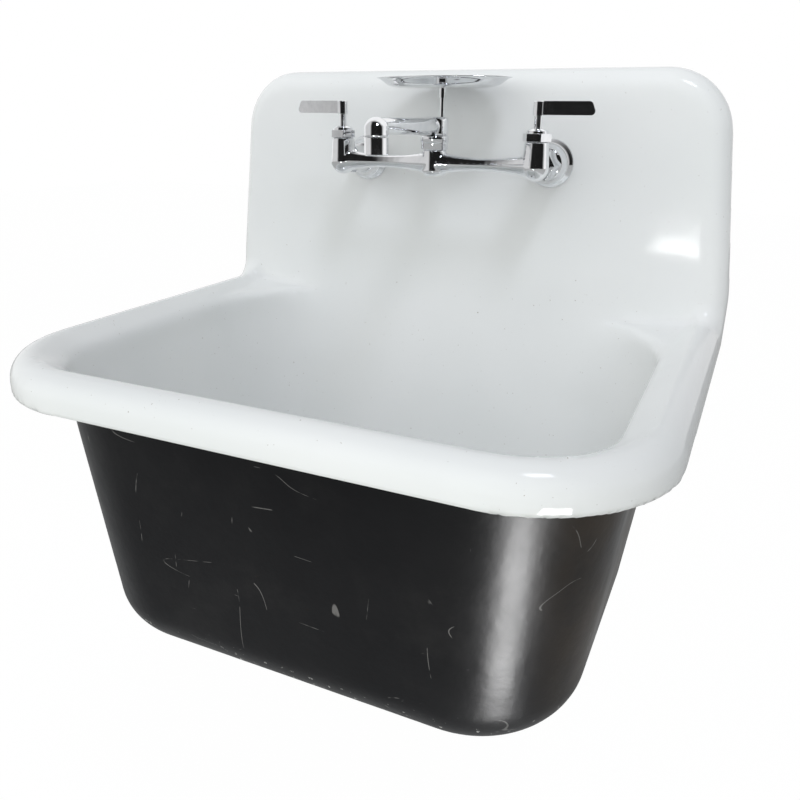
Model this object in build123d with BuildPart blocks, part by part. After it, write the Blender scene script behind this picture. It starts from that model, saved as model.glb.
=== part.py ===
"""Wall-hung cast iron utility sink with a bridge faucet and a soap dish.

Millimetres. +X is the user's right, +Y points into the wall, +Z is up.
The wall is the plane y = 0 and z = 0 is the crest of the rolled rim.
"""
import os
from math import radians, sqrt, tan

from build123d import *

os.makedirs("parts", exist_ok=True)

# Clearances, each used wherever two pieces meet in the same way.
run_gap = 0.05        # radial gap of a turning or threaded fit
seat_gap = 0.3        # gap between pieces that are set down on each other
slip_gap = 0.5        # radial gap of a hole that a piece only passes through

# Casting: rim.
rim_half_width = 280.0
back_flare = 3.5              # the rim is this much wider, each side, where it meets the wall
rim_depth = 429.5             # wall to the front of the rim
rim_height = 32.0             # outer face of the rolled rim
rim_corner = 112.0            # plan radius of the front corners
rim_roll = 20.0               # radius over the outer edge
wall = 9.0                    # iron and enamel together
skirt = 8.0                   # thickness of the rim's hanging edge
pocket_roof = 12.0            # crest to the roof of the hollow under the rim

# Casting: dished shelf inside the rim, two slopes that fall to the bowl.
shelf_inset = 30.0
shelf_drop = 5.0
lip_inset = 41.5
lip_drop = 11.0
lip_round = 4.0
shelf_back_corner = 12.0
opening_corner = 110.0

# Casting: splash back.
splash_height = 230.0
splash_lean = 26.0            # how far each side comes in from the rim to the top
splash_corner = 64.0
splash_depth = 25.0           # wall to the enamelled face
splash_knee = 22.0            # height where the sides begin to lean in
knee_radius = 120.0
splash_cove = 20.0
rail_top = 8.0                # bearing rail along the wall
rear_rib_x = 60.0
rear_rib = 6.0
hanger_play = 0.5

# Casting: bowl, measured on the black outside.
bowl_depth = 277.0
bowl_side_wall = 14.0         # iron at the sides and the front, thicker than the floor
bowl_front_wall = 11.0
bowl_side_draft = 6.7         # degrees from the vertical
bowl_front_draft = 4.0
bowl_back_draft = 14.4
bowl_corner = 107.0           # plan radius of the front corners, outside
bowl_corner_low = 92.0
bowl_corner_step = 21.0       # by this much the inside corners are tighter
bowl_back_corner_low = 52.0
back_corner_outside = 82.0
back_corner_outside_low = 56.0
bowl_edge = 49.0              # outside radius along the bottom edge
throat = 36.0

# Hanger on the wall and the lugs it carries.
hanger_half_length = 205.0
hanger_sheet = 4.0
hanger_low = 158.0
hanger_high = 204.0
hook_x = 170.0
hook_width = 36.0
hook_foot = 166.0             # underside of the hook
hook_tongue = 16.7
hook_reach = 12.5             # wall to the front of the tongue
hanger_hole_x = 120.0
hanger_hole_rise = 24.0       # between the two rows of holes
hanger_hole_radius = 3.3
lug_width = 56.0
lug_height = 22.0

# Waste.
drain_y = -232.0
drain_hole_radius = 26.0
drain_recess_radius = 40.0
drain_recess = 2.5
drain_boss_radius = 50.0
drain_boss = 5.5
cup_wall = 2.0
cup_flange = 2.0
cup_flange_play = 2.0         # recess edge to the flange
cup_reach = 17.5              # boss to the underside of the cup
grid_drop = 5.0               # flange to the top of the grid
grid_thickness = 2.0
crossbar_width = 6.0
crossbar_height = 6.0
neck_radius = 21.5
neck_bore = 17.5
neck_length = 14.0
gasket_band = 16.0
gasket_sheet = 3.0
friction_band = 15.0
friction_sheet = 1.5
clamp_flange_band = 13.0
clamp_body_band = 9.0
clamp_flange = 4.0
clamp_height = 9.0
notch_radius = 4.0
tail_tube_radius = 19.05
tail_wall = 1.0
tail_length = 30.9
tail_flange = 1.5
tail_relief = 0.25            # the tube is this much slimmer where the nut grips it
tail_relief_length = 4.5
tail_flange_play = 0.3
tail_nut_wall = 5.0
tail_nut_shoulder = 3.0
tail_nut_gap = 2.0            # cup to the top of the nut
grip_radius = 2.2

# Faucet: bridge.
faucet_centres = 203.2        # between the two valves and the two inlets
valve_offset = 57.0           # valve axis in front of the splash face
inlet_z = 142.0
arm_radius = 6.0              # thinnest, half way to the valve
arm_flare_radius = 11.0
arm_bore = 3.5
hub_radius = 12.0
hub_foot = 130.0
hub_shoulder = 154.2
hub_neck_radius = 10.0
hub_top = 160.5
barrel_foot = 128.0
barrel_belly_radius = 13.0
barrel_waist_radius = 12.2
barrel_waist_z = 152.0
barrel_top_radius = 11.3
barrel_top = 163.7
barrel_bore = 8.0
barrel_bore_foot = 134.0
tail_radius = 11.5
tail_thread_radius = 10.4
tail_shoulder = -69.8
tail_end = -58.0
post_y = -65.0                # stud of the soap dish, behind the spout hub
post_boss_radius = 6.0
post_boss_top = 150.0

# Faucet: inlets.
shank_radius = 9.0
shank_bore = 6.0
shank_end = -1.0
spigot_radius = 8.4           # where the house pipe is joined
spigot_length = 7.0
shank_head_radius = 10.1
shank_head = 3.0
gasket_thickness = 2.0
union_flats = 26.0
flange_radius = 23.3
flange_small_radius = 14.5
flange_length = 16.0
flange_sheet = 1.5
washer_radius = 17.0
washer_thickness = 2.0
locknut_flats = 30.0
locknut_height = 5.0

# Faucet: valves and levers.
bonnet_flats = 23.5
bonnet_hex_top = 171.0
bonnet_dome_top = 175.5
bonnet_spigot_foot = 156.0
stem_radius = 3.75
stem_shoulder = 186.0
stem_drive_radius = 3.0
stem_top = 195.0
plunger_radius = 6.0
plunger_foot = 143.0
plunger_top = 150.0
seat_height = 5.0
seat_bore = 3.6
lever_hub_radius = 5.25
lever_foot = 187.0
lever_top = 198.8
lever_reach = 53.0
lever_sheet = 3.0
lever_slant = 5.0
lever_end_round = 3.5
lever_screw_radius = 1.5
lever_screw_head = 3.0

# Faucet: spout.
spout_nut_radius = 13.75
spout_collar_radius = 13.0
spout_nut_foot = 154.5
spout_nut_step = 160.8
spout_nut_top = 167.0
spout_tail_radius = 7.0
spout_tail_foot = 146.0
spout_hub_radius = 13.0
spout_top = 184.5
spout_reach = 127.0
spout_root_radius = 8.5
spout_end_radius = 6.5
spout_bore = 4.0
outlet_radius = 10.25
outlet_foot = 154.0
outlet_seam = 168.7
outlet_thread_radius = 7.5
outlet_bore = 6.0
elbow_round = 11.0

# Soap dish.
stud_radius = 2.25
sleeve_radius = 3.15
sleeve_length = 8.5
dish_foot = 210.5
dish_height = 10.0
dish_half_length = 69.5
dish_half_width = 36.0
dish_sheet = 1.5

# Derived places.
sleeve_foot = dish_foot - sleeve_length
dish_rim = dish_foot + dish_height
valve_x = faucet_centres / 2
back_half_width = rim_half_width + back_flare
splash_half_width = back_half_width - splash_lean
splash_face = -splash_depth
valve_y = splash_face - valve_offset
floor_z = wall - bowl_depth
lip_half = rim_half_width - lip_inset
lip_front = lip_inset - rim_depth
side_shift = tan(radians(bowl_side_draft))
front_shift = tan(radians(bowl_front_draft))
back_shift = tan(radians(bowl_back_draft))
sides = (("left", -1), ("right", 1))


def upright(x, y, points):
    """Half profile (radius, height) for a piece turned about a vertical axis."""
    with BuildSketch(Plane(origin=(x, y, 0), x_dir=(1, 0, 0), z_dir=(0, -1, 0))) as half:
        with BuildLine():
            Polyline(*points, close=True)
        make_face()
    return half.sketch


def level(x, z, points):
    """Half profile (radius, y) for a piece turned about an axis into the wall."""
    with BuildSketch(Plane(origin=(x, 0, z), x_dir=(1, 0, 0), z_dir=(0, 0, 1))) as half:
        with BuildLine():
            Polyline(*points, close=True)
        make_face()
    return half.sketch


def up(x, y):
    """Vertical axis through (x, y)."""
    return Axis((x, y, 0), (0, 0, 1))


def into_wall(x, z):
    """Axis along +Y through (x, z)."""
    return Axis((x, 0, z), (0, 1, 0))


def hexagon(plane, flats, bore):
    """Hexagon with a round hole, drawn on the given plane."""
    with BuildSketch(plane) as outline:
        RegularPolygon(flats / 2, 6, major_radius=False)
        Circle(bore, mode=Mode.SUBTRACT)
    return outline.sketch


def rounded(z, half, front, back, front_radius, back_radius):
    """Rectangle in plan at height z with rounded front and back corners."""
    with BuildSketch(Plane.XY.offset(z)) as outline:
        with BuildLine():
            Polyline((-half, front), (half, front), (half, back), (-half, back), close=True)
        make_face()
        fillet(outline.vertices().group_by(Axis.Y)[0], front_radius)
        fillet(outline.vertices().group_by(Axis.Y)[-1], back_radius)
    return outline.sketch


def rim_ring(inset, drop, back_corner):
    """Plan of the dish at a distance inside the rim's outer face."""
    return rounded(-drop, rim_half_width - inset, inset - rim_depth, splash_face,
                   rim_corner - inset, back_corner)


def bowl_ring(z, outside):
    """Bowl in plan at height z, its inner face or its outer one."""
    drop = -lip_drop - z
    low = drop / (bowl_depth - wall - lip_drop)
    half = lip_half - drop * side_shift
    front = lip_front + drop * front_shift
    back = splash_face - drop * back_shift
    front_corner = bowl_corner + low * (bowl_corner_low - bowl_corner)
    if outside:
        back_corner = back_corner_outside + low * (back_corner_outside_low - back_corner_outside)
        return rounded(z, half + bowl_side_wall, front - bowl_front_wall, back + wall,
                       front_corner, back_corner)
    back_corner = opening_corner + low * (bowl_back_corner_low - opening_corner)
    return rounded(z, half, front, back, front_corner - bowl_corner_step, back_corner)


def splash_elevation(inset, foot):
    """Splash back seen from the front, inset on three sides."""
    half = back_half_width - inset
    top = splash_height - inset
    with BuildSketch(Plane.XZ) as outline:
        with BuildLine():
            Polyline((-half, foot), (half, foot), (half, splash_knee), (splash_half_width - inset, top),
                     (inset - splash_half_width, top), (-half, splash_knee), close=True)
        make_face()
        fillet(outline.vertices().group_by(Axis.Y)[-1], splash_corner - inset)
        knees = outline.vertices().filter_by(lambda v: abs(v.Y - splash_knee) < 1e-6)
        fillet(knees, knee_radius)
    return outline.sketch


# Sink casting: bowl, rolled rim and splash back poured in one piece.
with BuildPart() as bowl_outside:
    loft([bowl_ring(-throat, True), bowl_ring(-bowl_depth, True)], ruled=True)
    fillet(bowl_outside.faces().sort_by(Axis.Z)[0].edges(), bowl_edge)
    collar_ring = rounded(-lip_drop, lip_half + bowl_side_wall, lip_front - bowl_front_wall,
                          splash_face + wall, rim_corner - lip_inset + bowl_front_wall, back_corner_outside)
    loft([collar_ring, bowl_ring(-throat, True)], ruled=True)

with BuildPart() as bowl_inside:
    loft([bowl_ring(-throat, False), bowl_ring(floor_z, False)], ruled=True)
    fillet(bowl_inside.faces().sort_by(Axis.Z)[0].edges(), bowl_edge - wall)
    crest_ring = rim_ring(rim_roll, 0, shelf_back_corner)
    shelf_ring = rim_ring(shelf_inset, shelf_drop, shelf_back_corner)
    lip_ring = rim_ring(lip_inset - lip_round / 2, lip_drop - lip_round / 4, opening_corner)
    neck_ring = rounded(-lip_drop - lip_round, lip_half - lip_round / 2, lip_front + lip_round / 2,
                        splash_face - lip_round * back_shift, rim_corner - lip_inset, opening_corner)
    loft([neck_ring, bowl_ring(-throat, False)], ruled=True)
    loft([lip_ring, neck_ring], ruled=True)
    loft([shelf_ring, lip_ring], ruled=True)
    loft([crest_ring, shelf_ring], ruled=True)
    extrude(crest_ring, amount=splash_cove + rim_roll)

with BuildPart() as sink_casting:
    with BuildSketch(Plane.YZ) as side_view:
        with BuildLine():
            Polyline((0, -rim_height), (-rim_depth, -rim_height), (-rim_depth, 0), (splash_face, 0),
                     (splash_face, splash_height), (0, splash_height), close=True)
        make_face()
        foot = side_view.vertices().filter_by(lambda v: abs(v.X - splash_face) + abs(v.Y) < 1e-6)
        fillet(foot, splash_cove)
    extrude(amount=back_half_width, both=True)
    extrude(splash_elevation(0, -rim_height), amount=rim_depth, mode=Mode.INTERSECT)
    with BuildSketch(Plane.XY.offset(-rim_height)) as plan:
        with BuildLine():
            Polyline((-back_half_width, 0), (-rim_half_width, -rim_depth), (rim_half_width, -rim_depth),
                     (back_half_width, 0), close=True)
        make_face()
        fillet(plan.vertices().group_by(Axis.Y)[0], rim_corner)
    extrude(amount=rim_height + splash_height, mode=Mode.INTERSECT)
    outer_edges = sink_casting.edges().filter_by(
        lambda e: e.center().Z > -1e-3 and e.center().Y < splash_face + 1e-3
        and (abs(e.center().X) > 1 or e.center().Y < -rim_depth / 2 or e.center().Z > splash_height / 2))
    fillet(outer_edges, rim_roll)
    extrude(rounded(-rim_height, rim_half_width - skirt, skirt - rim_depth, -skirt, rim_corner - skirt,
                    lip_round), amount=rim_height - pocket_roof, mode=Mode.SUBTRACT)
    extrude(splash_elevation(wall, rail_top), amount=splash_depth - wall, mode=Mode.SUBTRACT)
    add(bowl_outside.part)
    extrude(rim_ring(shelf_inset, lip_drop + wall, shelf_back_corner), amount=wall)
    with BuildSketch(Plane.XY.offset(-bowl_depth - drain_boss)):
        with Locations((0, drain_y)):
            Circle(drain_boss_radius)
    extrude(amount=drain_boss + wall / 2)
    add(bowl_inside.part, mode=Mode.SUBTRACT)
    with BuildSketch(Plane.XY.offset(floor_z - drain_recess)):
        with Locations((0, drain_y)):
            Circle(drain_recess_radius)
    extrude(amount=2 * drain_recess, mode=Mode.SUBTRACT)
    with BuildSketch(Plane.XY.offset(-bowl_depth - 2 * drain_boss)):
        with Locations((0, drain_y)):
            Circle(drain_hole_radius)
    extrude(amount=2 * drain_boss + 2 * wall, mode=Mode.SUBTRACT)
    # ribs and hanging lugs on the hollow rear of the splash back
    rear_room = splash_depth - wall - hanger_sheet
    with BuildSketch(Plane.XZ.offset(hanger_sheet + hanger_play)):
        with Locations((-rear_rib_x, (rail_top + splash_height - wall) / 2),
                       (rear_rib_x, (rail_top + splash_height - wall) / 2)):
            Rectangle(rear_rib, splash_height - wall - rail_top + 2)
    extrude(amount=rear_room - hanger_play + 1)
    lug_foot = hook_foot + hanger_sheet + seat_gap
    with BuildSketch(Plane.XZ.offset(hanger_sheet + seat_gap)):
        with Locations((-hook_x, lug_foot + lug_height / 2), (hook_x, lug_foot + lug_height / 2)):
            Rectangle(lug_width, lug_height)
    extrude(amount=rear_room - seat_gap + 1)
    with BuildSketch(Plane.XZ.offset(hook_reach - hanger_sheet - seat_gap)):
        with Locations((-hook_x, lug_foot), (hook_x, lug_foot)):
            Rectangle(hook_width + 8, 2 * (hook_tongue - hanger_sheet))
    extrude(amount=hanger_sheet + 2 * seat_gap, mode=Mode.SUBTRACT)
    # holes for the supply shanks
    with BuildSketch(Plane.XZ):
        with Locations((-valve_x, inlet_z), (valve_x, inlet_z)):
            Circle(shank_radius + slip_gap * 4)
    extrude(amount=splash_depth + 1, mode=Mode.SUBTRACT)
sink_casting.part.label = "sink_casting"
export_step(sink_casting.part, "parts/sink_casting.step")


# Wall hanger: steel strip with two hooks turned up into the casting's lugs.
with BuildPart() as wall_hanger:
    with BuildSketch(Plane.XZ):
        with Locations((0, (hanger_low + hanger_high) / 2)):
            RectangleRounded(2 * hanger_half_length, hanger_high - hanger_low, 6)
        with Locations((0, (hanger_low + hanger_high) / 2)):
            with GridLocations(2 * hanger_hole_x, hanger_hole_rise, 2, 2):
                Circle(hanger_hole_radius, mode=Mode.SUBTRACT)
    extrude(amount=hanger_sheet)
    for _, sign in sides:
        with BuildSketch(Plane.YZ.offset(sign * hook_x)):
            with BuildLine():
                Polyline((-hanger_sheet / 2, hook_foot), (-hook_reach, hook_foot),
                         (-hook_reach, hook_foot + hook_tongue),
                         (hanger_sheet - hook_reach, hook_foot + hook_tongue),
                         (hanger_sheet - hook_reach, hook_foot + hanger_sheet),
                         (-hanger_sheet / 2, hook_foot + hanger_sheet), close=True)
            make_face()
        extrude(amount=hook_width / 2, both=True)
wall_hanger.part.label = "wall_hanger"
export_step(wall_hanger.part, "parts/wall_hanger.step")


# Faucet bridge: flared cross arm, centre hub, two pear-shaped valve barrels.
with BuildPart() as faucet_bridge:
    with BuildSketch(Plane(origin=(0, valve_y, inlet_z), x_dir=(1, 0, 0), z_dir=(0, -1, 0))):
        with BuildLine():
            arm = ThreePointArc((hub_radius * 0.5, arm_flare_radius), (valve_x / 2, arm_radius),
                                (valve_x - hub_radius * 0.5, arm_flare_radius))
            Polyline(arm @ 1, (valve_x, arm_flare_radius), (valve_x, 0), (0, 0),
                     (0, arm_flare_radius), arm @ 0)
        make_face()
        mirror(about=Plane.YZ)
    revolve(axis=Axis((0, valve_y, inlet_z), (1, 0, 0)))
    revolve(upright(0, valve_y, [(0, hub_foot), (hub_radius - 3, hub_foot), (hub_radius, hub_foot + 3),
                                 (hub_radius, hub_shoulder), (hub_neck_radius, hub_shoulder),
                                 (hub_neck_radius, hub_top), (0, hub_top)]), axis=up(0, valve_y))
    for _, sign in sides:
        with BuildSketch(Plane(origin=(sign * valve_x, valve_y, 0), x_dir=(1, 0, 0), z_dir=(0, -1, 0))):
            with BuildLine():
                belly = RadiusArc((0, barrel_foot), (barrel_belly_radius, barrel_foot + barrel_belly_radius),
                                  -barrel_belly_radius)
                side_line = ThreePointArc(belly @ 1, (barrel_waist_radius, barrel_waist_z),
                                          (barrel_top_radius, barrel_top))
                Polyline(side_line @ 1, (0, barrel_top), belly @ 0)
            make_face()
        revolve(axis=up(sign * valve_x, valve_y))
        revolve(level(sign * valve_x, inlet_z, [(0, valve_y), (tail_radius, valve_y),
                                                (tail_radius, tail_shoulder),
                                                (tail_thread_radius, tail_shoulder),
                                                (tail_thread_radius, tail_end), (0, tail_end)]),
                axis=into_wall(sign * valve_x, inlet_z))
    with BuildSketch(Plane.XY.offset(hub_foot + 4)):
        with Locations((0, post_y)):
            Circle(post_boss_radius)
        with Locations((0, (post_y + valve_y) / 2)):
            Rectangle(post_boss_radius * 1.4, post_y - valve_y)
    extrude(amount=post_boss_top - hub_foot - 4)
    # waterways and bores
    with BuildSketch(Plane.YZ.offset(-valve_x)):
        with Locations((valve_y, inlet_z)):
            Circle(arm_bore)
    extrude(amount=2 * valve_x, mode=Mode.SUBTRACT)
    with BuildSketch(Plane.XY.offset(inlet_z)):
        with Locations((0, valve_y)):
            Circle(spout_tail_radius + run_gap)
    extrude(amount=hub_top - inlet_z, mode=Mode.SUBTRACT)
    with BuildSketch(Plane.XY.offset(barrel_bore_foot)):
        with Locations((-valve_x, valve_y), (valve_x, valve_y)):
            Circle(barrel_bore)
    extrude(amount=barrel_top - barrel_bore_foot, mode=Mode.SUBTRACT)
    with BuildSketch(Plane.XZ.offset(-tail_end)):
        with Locations((-valve_x, inlet_z), (valve_x, inlet_z)):
            Circle(shank_bore)
    extrude(amount=tail_end - valve_y, mode=Mode.SUBTRACT)
    with BuildSketch(Plane.XY.offset(hub_foot + 8)):
        with Locations((0, post_y)):
            Circle(stud_radius + run_gap)
    extrude(amount=post_boss_top - hub_foot - 8, mode=Mode.SUBTRACT)
faucet_bridge.part.label = "faucet_bridge"
export_step(faucet_bridge.part, "parts/faucet_bridge.step")


# Inlets: each shank runs through the splash back into a union at the valve.
gasket_face = tail_end + seat_gap
head_face = gasket_face + gasket_thickness + seat_gap
head_back = head_face + shank_head
union_end = splash_face - seat_gap - flange_length - seat_gap
for side, sign in sides:
    x = sign * valve_x
    axis = into_wall(x, inlet_z)
    with BuildPart() as shank:
        revolve(level(x, inlet_z, [(shank_bore, head_face), (shank_head_radius, head_face),
                                   (shank_head_radius, head_back), (shank_radius, head_back),
                                   (shank_radius, shank_end - spigot_length),
                                   (spigot_radius, shank_end - spigot_length),
                                   (spigot_radius, shank_end - 1), (spigot_radius - 1, shank_end),
                                   (shank_bore, shank_end)]), axis=axis)
    shank.part.label = f"supply_shank_{side}"
    export_step(shank.part, f"parts/supply_shank_{side}.step")

    with BuildPart() as gasket:
        revolve(level(x, inlet_z, [(shank_bore, gasket_face), (shank_head_radius, gasket_face),
                                   (shank_head_radius, gasket_face + gasket_thickness),
                                   (shank_bore, gasket_face + gasket_thickness)]), axis=axis)
    gasket.part.label = f"union_gasket_{side}"
    export_step(gasket.part, f"parts/union_gasket_{side}.step")

    with BuildPart() as union_nut:
        union_start = tail_shoulder + seat_gap
        extrude(hexagon(Plane(origin=(x, union_end, inlet_z), x_dir=(1, 0, 0), z_dir=(0, -1, 0)),
                        union_flats, shank_radius + run_gap), amount=union_end - union_start)
        revolve(level(x, inlet_z, [(union_flats / 2 - 1, union_start - 1), (union_flats, union_start - 1),
                                   (union_flats, union_start + 4)]), axis=axis, mode=Mode.SUBTRACT)
        revolve(level(x, inlet_z, [(0, union_start - 1), (tail_thread_radius + run_gap, union_start - 1),
                                   (tail_thread_radius + run_gap, head_back + seat_gap),
                                   (0, head_back + seat_gap)]), axis=axis, mode=Mode.SUBTRACT)
    union_nut.part.label = f"union_nut_{side}"
    export_step(union_nut.part, f"parts/union_nut_{side}.step")

    with BuildPart() as wall_flange:
        face = splash_face - seat_gap
        front = face - flange_length
        revolve(level(x, inlet_z, [(shank_radius + slip_gap, front), (flange_small_radius, front),
                                   (flange_small_radius + 1, front + 1), (flange_radius, face - 1.5),
                                   (flange_radius, face), (flange_radius - flange_sheet, face),
                                   (flange_small_radius - flange_sheet / 2, front + flange_sheet),
                                   (shank_radius + slip_gap, front + flange_sheet)]), axis=axis)
    wall_flange.part.label = f"wall_flange_{side}"
    export_step(wall_flange.part, f"parts/wall_flange_{side}.step")

    with BuildPart() as shank_washer:
        front = wall - splash_depth + seat_gap
        revolve(level(x, inlet_z, [(shank_radius + run_gap, front), (washer_radius, front),
                                   (washer_radius, front + washer_thickness),
                                   (shank_radius + run_gap, front + washer_thickness)]), axis=axis)
    shank_washer.part.label = f"shank_washer_{side}"
    export_step(shank_washer.part, f"parts/shank_washer_{side}.step")

    with BuildPart() as shank_locknut:
        front = wall - splash_depth + seat_gap + washer_thickness + seat_gap
        behind = Plane(origin=(x, front + locknut_height, inlet_z), x_dir=(1, 0, 0), z_dir=(0, -1, 0))
        extrude(hexagon(behind, locknut_flats, shank_radius + run_gap), amount=locknut_height)
    shank_locknut.part.label = f"shank_locknut_{side}"
    export_step(shank_locknut.part, f"parts/shank_locknut_{side}.step")


# Valves: quarter-turn stems under hexagonal bonnets, one lever each.
for side, sign in sides:
    x = sign * valve_x
    axis = up(x, valve_y)
    with BuildPart() as bonnet:
        foot = barrel_top + seat_gap
        extrude(hexagon(Plane(origin=(x, valve_y, foot), x_dir=(1, 0, 0), z_dir=(0, 0, 1)),
                        bonnet_flats, stem_radius + run_gap), amount=bonnet_hex_top - foot)
        crown = bonnet_flats / 2 - 1.2
        revolve(upright(x, valve_y, [(stem_radius + run_gap, bonnet_hex_top), (crown, bonnet_hex_top),
                                     (crown * 0.93, bonnet_hex_top + 2.2),
                                     (crown * 0.7, bonnet_dome_top - 0.7), (crown * 0.5, bonnet_dome_top),
                                     (stem_radius + run_gap, bonnet_dome_top)]), axis=axis)
        revolve(upright(x, valve_y, [(stem_radius + run_gap, bonnet_spigot_foot),
                                     (barrel_bore - run_gap, bonnet_spigot_foot),
                                     (barrel_bore - run_gap, foot), (stem_radius + run_gap, foot)]),
                axis=axis)
    bonnet.part.label = f"bonnet_nut_{side}"
    export_step(bonnet.part, f"parts/bonnet_nut_{side}.step")

    with BuildPart() as stem:
        revolve(upright(x, valve_y, [(0, plunger_foot), (plunger_radius, plunger_foot),
                                     (plunger_radius, plunger_top), (stem_radius, plunger_top),
                                     (stem_radius, stem_shoulder), (stem_drive_radius, stem_shoulder),
                                     (stem_drive_radius, stem_top), (lever_screw_radius + run_gap, stem_top),
                                     (lever_screw_radius + run_gap, stem_shoulder),
                                     (0, stem_shoulder)]), axis=axis)
    stem.part.label = f"valve_stem_{side}"
    export_step(stem.part, f"parts/valve_stem_{side}.step")

    with BuildPart() as seat:
        revolve(upright(x, valve_y, [(seat_bore, barrel_bore_foot), (barrel_bore - run_gap, barrel_bore_foot),
                                     (barrel_bore - run_gap, barrel_bore_foot + seat_height),
                                     (seat_bore, barrel_bore_foot + seat_height)]), axis=axis)
    seat.part.label = f"valve_seat_{side}"
    export_step(seat.part, f"parts/valve_seat_{side}.step")

    with BuildPart() as seat_washer:
        low = barrel_bore_foot + seat_height + seat_gap
        revolve(upright(x, valve_y, [(0, low), (plunger_radius - 0.5, low),
                                     (plunger_radius - 0.5, plunger_foot - seat_gap),
                                     (0, plunger_foot - seat_gap)]), axis=axis)
    seat_washer.part.label = f"seat_washer_{side}"
    export_step(seat_washer.part, f"parts/seat_washer_{side}.step")

    with BuildPart() as lever:
        hub_low = stem_shoulder + seat_gap
        screw_seat = stem_top + seat_gap + 0.9
        with BuildSketch(Plane.XZ.offset(-valve_y - lever_sheet / 2)):
            with BuildLine():
                Polyline((x, lever_foot), (x + sign * lever_reach, lever_foot),
                         (x + sign * (lever_reach - lever_slant), lever_top), (x, lever_top), close=True)
            make_face()
        extrude(amount=lever_sheet)
        across = lever.edges().filter_by(Axis.Y)
        fillet(across.filter_by(lambda e: abs(e.center().X - x) > lever_reach / 2), lever_end_round)
        revolve(upright(x, valve_y, [(0, hub_low), (lever_hub_radius, hub_low),
                                     (lever_hub_radius, lever_top - 0.6), (lever_hub_radius - 0.6, lever_top),
                                     (0, lever_top)]), axis=axis)
        revolve(upright(x, valve_y, [(0, hub_low), (stem_drive_radius + run_gap, hub_low),
                                     (stem_drive_radius + run_gap, stem_top + seat_gap),
                                     (lever_screw_radius + run_gap, stem_top + seat_gap),
                                     (lever_screw_radius + run_gap, screw_seat),
                                     (lever_screw_head + run_gap, screw_seat),
                                     (lever_screw_head + run_gap, lever_top), (0, lever_top)]),
                axis=axis, mode=Mode.SUBTRACT)
    lever.part.label = f"lever_{side}"
    export_step(lever.part, f"parts/lever_{side}.step")

    with BuildPart() as lever_screw:
        low = screw_seat + seat_gap
        revolve(upright(x, valve_y, [(0, stem_shoulder + 1), (lever_screw_radius, stem_shoulder + 1),
                                     (lever_screw_radius, low), (lever_screw_head, low),
                                     (lever_screw_head, lever_top - 0.8), (lever_screw_head - 0.8, lever_top),
                                     (0, lever_top)]), axis=axis)
        with BuildSketch(Plane.XY.offset(lever_top - 0.9)):
            with Locations((x, valve_y)):
                Rectangle(2 * lever_screw_head, 0.9)
        extrude(amount=1, mode=Mode.SUBTRACT)
    lever_screw.part.label = f"lever_screw_{side}"
    export_step(lever_screw.part, f"parts/lever_screw_{side}.step")


# Spout: swings on a tail held down by a ring under the coupling nut.
ring_groove_radius = spout_tail_radius - 1.0
ring_low = hub_top + 1.2
ring_high = ring_low + 2.0
oring_z = spout_tail_foot + 5.0
oring_radius = 0.72
with BuildPart() as spout_nut:
    revolve(upright(0, valve_y, [(hub_neck_radius + run_gap, spout_nut_foot),
                                 (spout_collar_radius - 0.6, spout_nut_foot),
                                 (spout_collar_radius, spout_nut_foot + 0.6),
                                 (spout_collar_radius, spout_nut_step),
                                 (spout_nut_radius, spout_nut_step + 0.5),
                                 (spout_nut_radius, spout_nut_top - 0.7),
                                 (spout_nut_radius - 0.7, spout_nut_top),
                                 (spout_tail_radius + run_gap, spout_nut_top),
                                 (spout_tail_radius + run_gap, ring_high + seat_gap),
                                 (hub_neck_radius + run_gap, ring_high + seat_gap)]), axis=up(0, valve_y))
spout_nut.part.label = "spout_nut"
export_step(spout_nut.part, "parts/spout_nut.step")

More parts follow.
